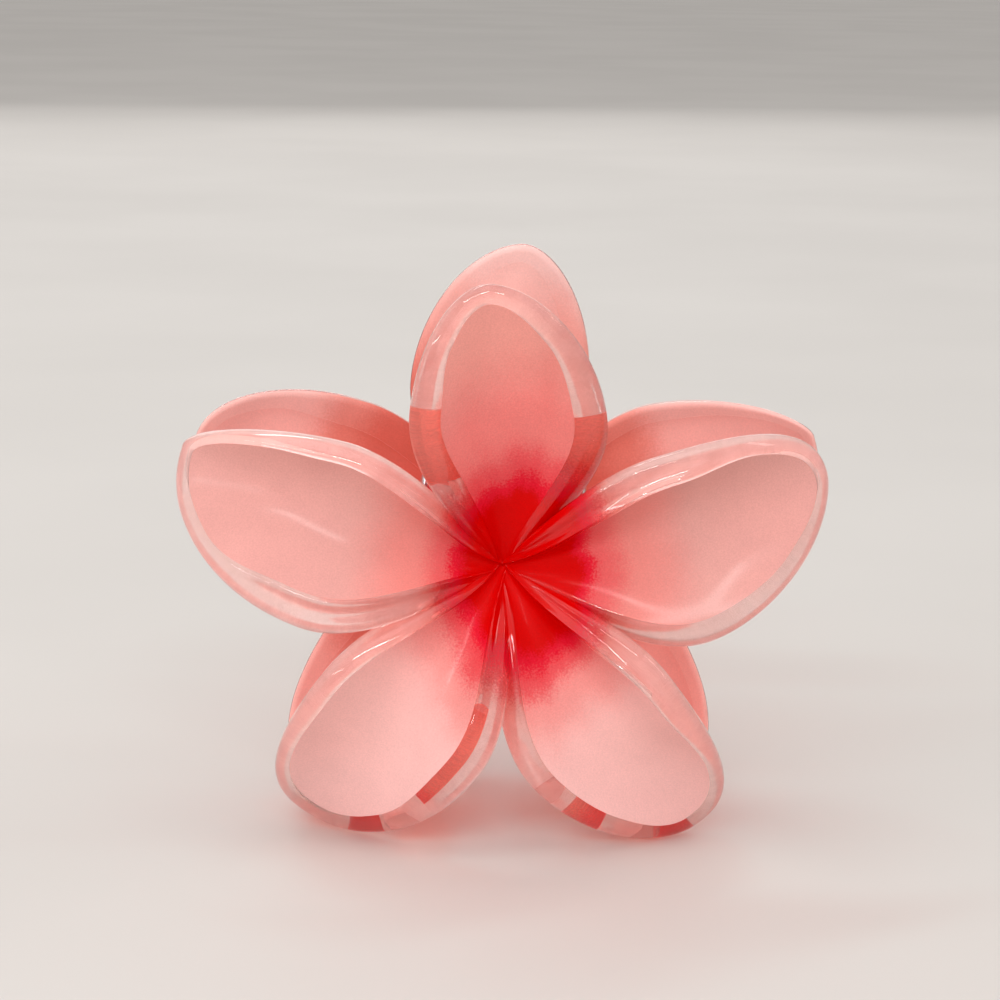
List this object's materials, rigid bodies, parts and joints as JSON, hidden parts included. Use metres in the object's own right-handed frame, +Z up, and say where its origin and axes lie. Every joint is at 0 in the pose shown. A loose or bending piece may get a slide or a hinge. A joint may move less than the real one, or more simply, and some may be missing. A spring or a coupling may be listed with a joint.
{
  "type": "flower hair clip",
  "caption": "Claw clip for hair: matching open flowers stand back to back, turn on a sprung hinge pin and grip hair with interlaced teeth.",
  "frame": {"origin": "on the ground below the middle of the hinge pin, centred between the two flowers", "axes": "+X to the right along the hinge pin as seen from the front flower, +Y from the front flower to the rear flower, +Z up towards the finger petals"},
  "size_m": [0.0786, 0.044, 0.0689],
  "materials": {
    "petal_plastic": "clear moulded plastic, glossy, with salmon paint sprayed on the back of each petal and left off its rim",
    "throat_plastic": "clear moulded plastic with saturated red paint on the back",
    "jaw_plastic": "the same clear moulded plastic, lightly painted",
    "steel": "plated spring wire and pin, smooth"
  },
  "bodies": {
    "front_half": {"front_petal_top": "petal_plastic", "front_petal_left": "petal_plastic", "front_petal_lower_left": "petal_plastic", "front_petal_lower_right": "petal_plastic", "front_petal_right": "petal_plastic", "front_throat": "throat_plastic", "front_hinge_lugs": "jaw_plastic", "front_teeth_left": "jaw_plastic", "front_teeth_right": "jaw_plastic", "hinge_pin": "steel", "spring_coil": "steel", "spring_leg_front": "steel"},
    "rear_half": {"rear_petal_top": "petal_plastic", "rear_petal_left": "petal_plastic", "rear_petal_lower_left": "petal_plastic", "rear_petal_lower_right": "petal_plastic", "rear_petal_right": "petal_plastic", "rear_throat": "throat_plastic", "rear_hinge_lugs": "jaw_plastic", "rear_teeth_left": "jaw_plastic", "rear_teeth_right": "jaw_plastic", "spring_leg_rear": "steel"}
  },
  "joints": [
    {"name": "jaw_hinge", "type": "hinge", "parent": "front_half", "child": "rear_half", "pos_m": [0, 0, 0.04149], "axis": [1, 0, 0], "range_deg": [0, 45], "stiffness_Nm_per_rad": 0.08, "springref_deg": -68.75, "deforming": ["spring_coil"]}
  ]
}
